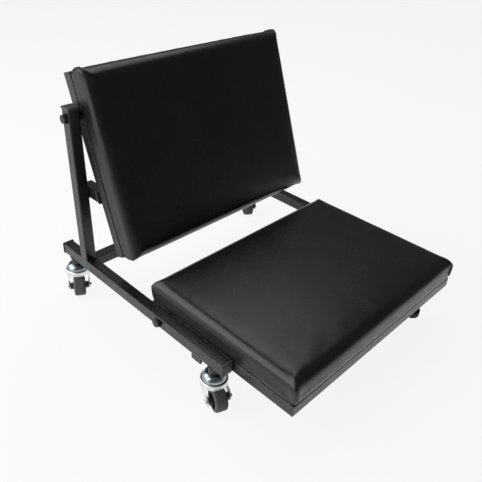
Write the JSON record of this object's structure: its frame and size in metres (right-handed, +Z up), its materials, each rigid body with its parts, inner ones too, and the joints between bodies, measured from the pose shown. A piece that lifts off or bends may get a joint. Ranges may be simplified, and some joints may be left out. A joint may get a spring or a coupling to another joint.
{
  "type": "creeper seat",
  "caption": "Low rolling work seat: black square-tube base on swivel casters, padded seat that lifts on side bolts and a reclined padded backrest hung between two posts.",
  "frame": {"origin": "middle of the footprint on the floor, under the wheels' lowest points", "axes": "+Z up, -Y the way the sitter faces, +X the sitter's left"},
  "size_m": [0.6579, 0.693, 0.5525],
  "materials": {
    "black_frame": "textured black powder coat",
    "vinyl_pads": "smooth black vinyl-coated upholstery fabric, satin",
    "plywood": "raw plywood",
    "tube_plugs": "moulded black polyethylene",
    "zinc_plate": "bright zinc plate",
    "black_bolts": "black oxide",
    "black_rubber": "matte rubber",
    "tyres": "dark grey rubber tread",
    "wheel_hubs": "moulded nylon"
  },
  "bodies": {
    "base": {"rail_right": "black_frame", "rail_left": "black_frame", "post_right": "black_frame", "post_left": "black_frame", "rear_crossbar": "black_frame", "front_crossbar": "black_frame", "front_crossbar_packers": "black_frame", "stop_stub_right": "black_frame", "stop_stub_left": "black_frame", "stop_stub_pads": "black_rubber", "rail_end_plugs": "tube_plugs", "post_caps": "tube_plugs", "crossbar_end_plugs": "tube_plugs", "caster_sockets": "black_frame", "caster_stems": "zinc_plate", "caster_top_races": "zinc_plate", "caster_bearing_balls": "zinc_plate", "back_pivot_bolts": "black_bolts", "back_pivot_spacers": "black_bolts", "seat_pivot_bolts": "black_bolts", "pivot_washers": "black_bolts", "back_pivot_nuts": "black_bolts", "seat_pivot_nuts": "black_bolts"},
    "backrest": {"back_side_tube_right": "black_frame", "back_side_tube_left": "black_frame", "back_top_tube": "black_frame", "back_bottom_tube": "black_frame", "back_board": "plywood", "back_cushion": "vinyl_pads", "back_board_screws": "zinc_plate"},
    "seat": {"seat_side_tube_right": "black_frame", "seat_side_tube_left": "black_frame", "seat_front_tube": "black_frame", "seat_rear_tube": "black_frame", "seat_board": "plywood", "seat_cushion": "vinyl_pads", "seat_board_screws": "zinc_plate", "seat_foot_boss": "black_frame", "seat_foot_pad": "black_rubber"},
    "caster_rear_right": {"fork_rear_right": "zinc_plate", "axle_rear_right": "zinc_plate", "axle_nut_rear_right": "zinc_plate"},
    "wheel_rear_right": {"tyre_rear_right": "tyres", "hub_rear_right": "wheel_hubs"},
    "caster_front_right": {"fork_front_right": "zinc_plate", "axle_front_right": "zinc_plate", "axle_nut_front_right": "zinc_plate"},
    "wheel_front_right": {"tyre_front_right": "tyres", "hub_front_right": "wheel_hubs"},
    "caster_rear_left": {"fork_rear_left": "zinc_plate", "axle_rear_left": "zinc_plate", "axle_nut_rear_left": "zinc_plate"},
    "wheel_rear_left": {"tyre_rear_left": "tyres", "hub_rear_left": "wheel_hubs"},
    "caster_front_left": {"fork_front_left": "zinc_plate", "axle_front_left": "zinc_plate", "axle_nut_front_left": "zinc_plate"},
    "wheel_front_left": {"tyre_front_left": "tyres", "hub_front_left": "wheel_hubs"}
  },
  "joints": [
    {"name": "backrest_swing", "type": "hinge", "parent": "base", "child": "backrest", "pos_m": [0, 0.256, 0.456], "axis": [-1, 0, 0], "range_deg": [0, 75]},
    {"name": "seat_lift", "type": "hinge", "parent": "base", "child": "seat", "pos_m": [0, -0.0125, 0.1075], "axis": [-1, 0, 0], "range_deg": [0, 90]},
    {"name": "swivel_rear_right", "type": "hinge", "parent": "base", "child": "caster_rear_right", "pos_m": [-0.2915, 0.3135, 0.0536], "axis": [0, 0, 1], "continuous": true},
    {"name": "roll_rear_right", "type": "hinge", "parent": "caster_rear_right", "child": "wheel_rear_right", "pos_m": [-0.30335, 0.29379, 0.025], "axis": [-0.8572, 0.515, 0], "continuous": true},
    {"name": "swivel_front_right", "type": "hinge", "parent": "base", "child": "caster_front_right", "pos_m": [-0.2915, -0.1665, 0.0536], "axis": [0, 0, 1], "continuous": true},
    {"name": "roll_front_right", "type": "hinge", "parent": "caster_front_right", "child": "wheel_front_right", "pos_m": [-0.30012, -0.18783, 0.025], "axis": [-0.9272, 0.3746, 0], "continuous": true},
    {"name": "swivel_rear_left", "type": "hinge", "parent": "base", "child": "caster_rear_left", "pos_m": [0.2915, 0.3135, 0.0536], "axis": [0, 0, 1], "continuous": true},
    {"name": "roll_rear_left", "type": "hinge", "parent": "caster_rear_left", "child": "wheel_rear_left", "pos_m": [0.27864, 0.29443, 0.025], "axis": [-0.829, 0.5592, 0], "continuous": true},
    {"name": "swivel_front_left", "type": "hinge", "parent": "base", "child": "caster_front_left", "pos_m": [0.2915, -0.1665, 0.0536], "axis": [0, 0, 1], "continuous": true},
    {"name": "roll_front_left", "type": "hinge", "parent": "caster_front_left", "child": "wheel_front_left", "pos_m": [0.30335, -0.18621, 0.025], "axis": [-0.8572, -0.515, 0], "continuous": true}
  ]
}
